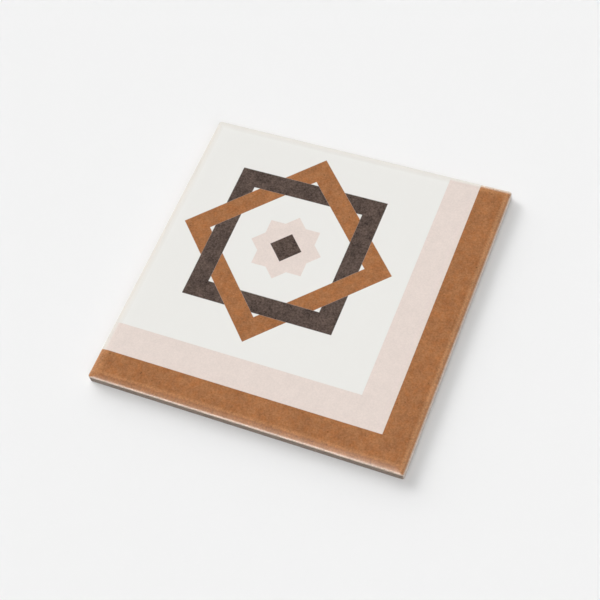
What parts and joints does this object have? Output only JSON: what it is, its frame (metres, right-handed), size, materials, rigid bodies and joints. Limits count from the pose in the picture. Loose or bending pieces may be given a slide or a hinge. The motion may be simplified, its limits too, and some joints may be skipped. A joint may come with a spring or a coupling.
{
  "type": "porcelain tile",
  "caption": "Square glazed porcelain tile with a cushioned edge, banded colour print on its face, plain upright sides and a keyed back.",
  "frame": {"origin": "centre of the back, in the plane of its rim and ribs, with the tile lying on its back", "axes": "+Z out of the glazed face, +X and +Y along two neighbouring sides, with the wide border bands along the +X and -Y sides"},
  "size_m": [0.2, 0.2, 0.007],
  "materials": {
    "porcelain": "satin glaze over a printed face, bare fired body on the sides and the back"
  },
  "bodies": {
    "root": {"tile": "porcelain"}
  },
  "joints": []
}
